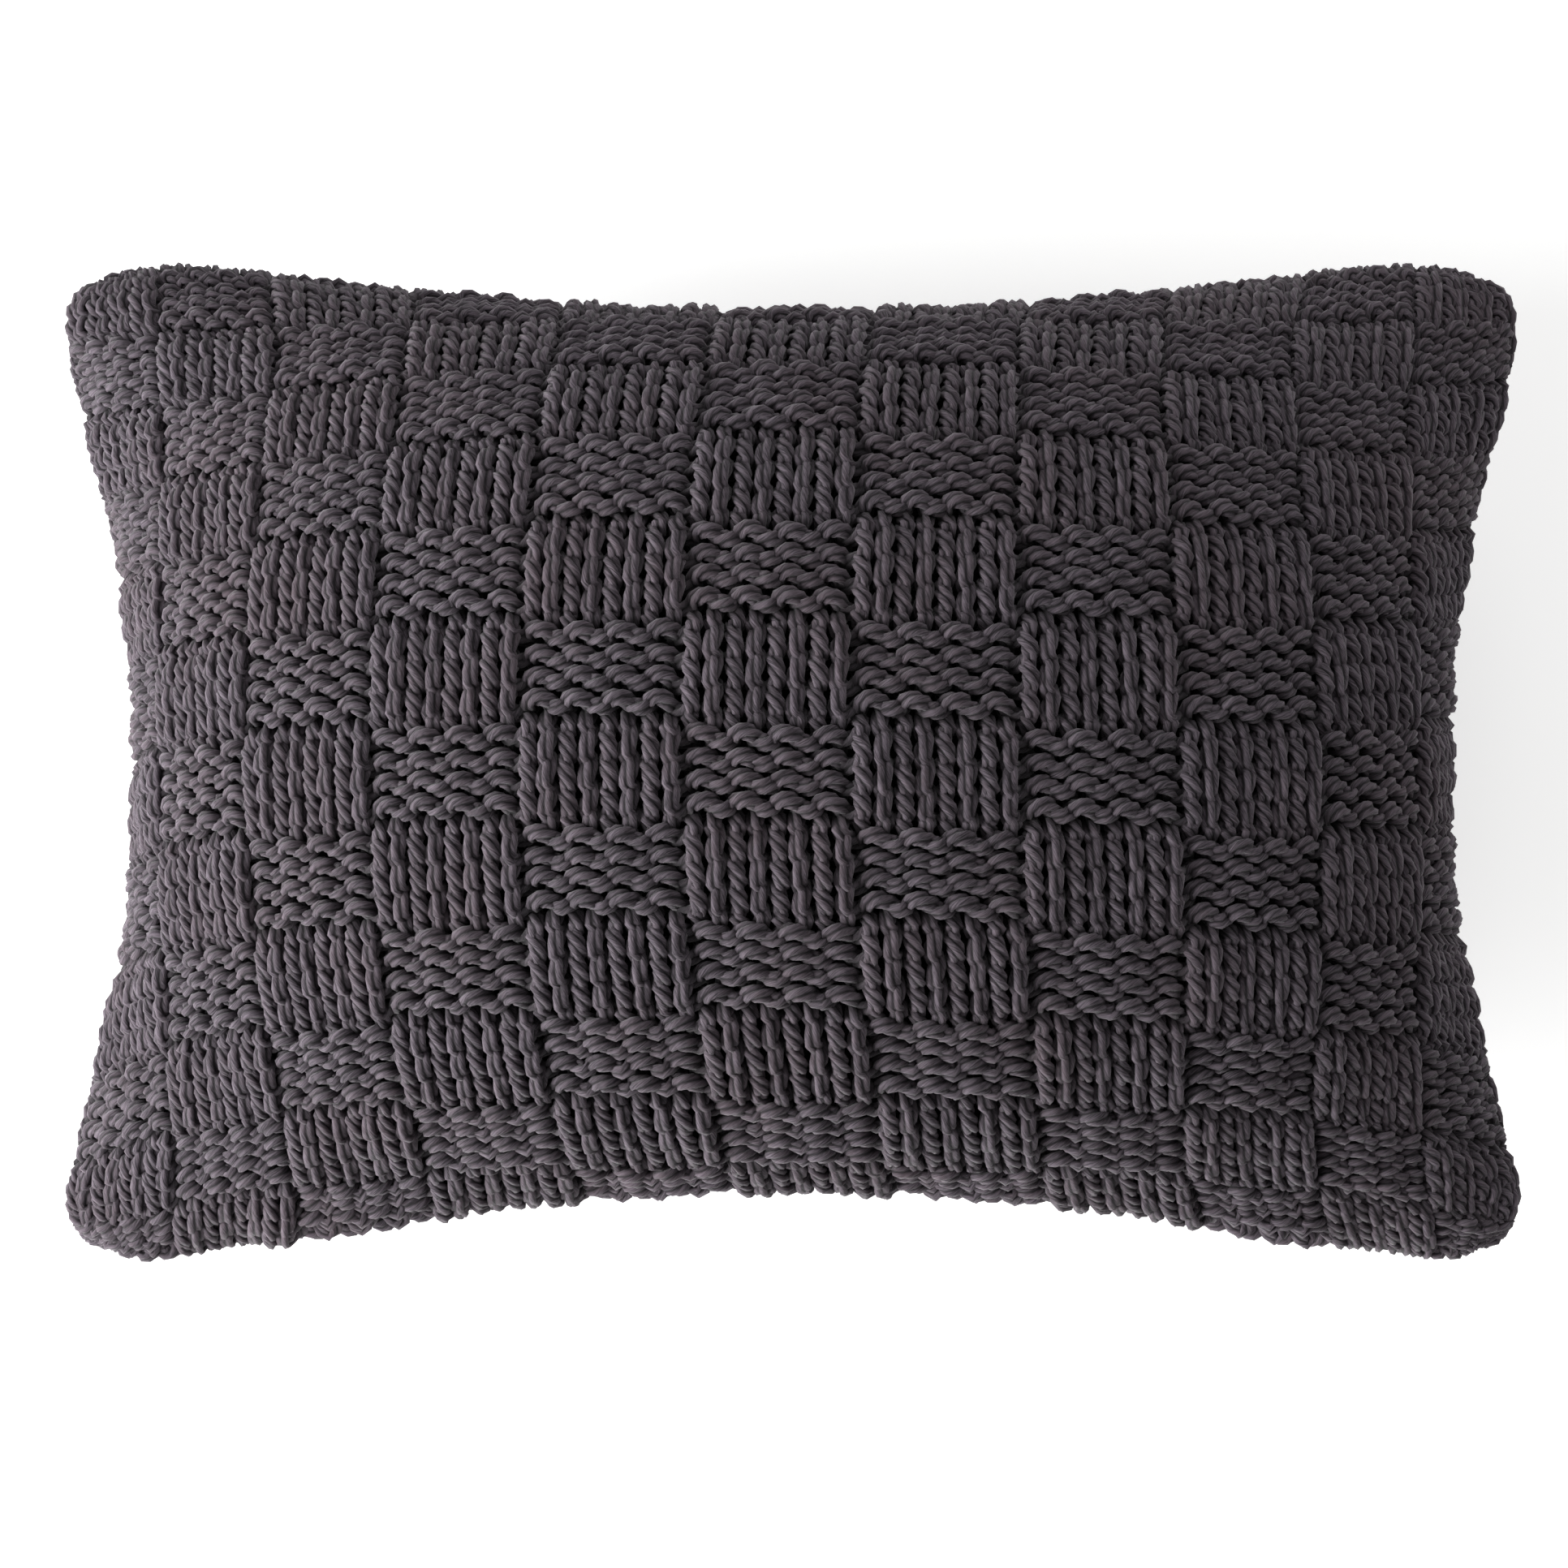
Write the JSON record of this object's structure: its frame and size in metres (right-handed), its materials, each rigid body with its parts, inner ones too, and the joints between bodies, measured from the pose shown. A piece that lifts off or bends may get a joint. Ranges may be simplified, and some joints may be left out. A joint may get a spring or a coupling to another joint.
{
  "type": "throw pillow",
  "caption": "Plump rectangular lumbar throw pillow in thick basket-weave knit, with a lined cover, a removable insert and a hidden zip along the bottom seam.",
  "frame": {"origin": "centre of the underside that the pillow rests on, under the middle of its outline box", "axes": "+X along the pillow's length, +Y from the zipped bottom edge to the top edge, +Z out of the front face"},
  "size_m": [0.5094, 0.3496, 0.188],
  "materials": {
    "knit_yarn": "soft plied yarn, charcoal heather",
    "seam_yarn": "soft plied yarn",
    "lining_cloth": "plain-woven cotton, near black",
    "insert_cloth": "plain-woven cotton, off-white",
    "fill_fibre": "loose polyester fibre",
    "tape_cloth": "woven polyester tape",
    "coil_nylon": "nylon monofilament",
    "zip_metal": "black-nickel die-cast"
  },
  "bodies": {
    "pillow": {"cover_front_panel": "knit_yarn", "cover_back_panel": "knit_yarn", "cover_seam_yarn": "seam_yarn", "lining_front": "lining_cloth", "lining_back": "lining_cloth", "insert_shell_front": "insert_cloth", "insert_shell_back": "insert_cloth", "insert_fill": "fill_fibre", "zip_tape_front": "tape_cloth", "zip_tape_back": "tape_cloth", "zip_coil_front": "coil_nylon", "zip_coil_back": "coil_nylon", "zip_top_stop_front": "zip_metal", "zip_top_stop_back": "zip_metal", "zip_bottom_stop": "zip_metal"},
    "slider": {"zip_slider": "zip_metal"},
    "pull_tab": {"zip_pull_tab": "zip_metal"}
  },
  "joints": [
    {"name": "zip_travel", "type": "hinge", "parent": "pillow", "child": "slider", "pos_m": [0, -0.96527, 0.084], "axis": [0, 0, -1], "range_deg": [0, 19.49]},
    {"name": "tab_swing", "type": "hinge", "parent": "slider", "child": "pull_tab", "pos_m": [-0.13912, -0.15567, 0.084], "axis": [0, 0, -1], "range_deg": [0, 170]}
  ]
}
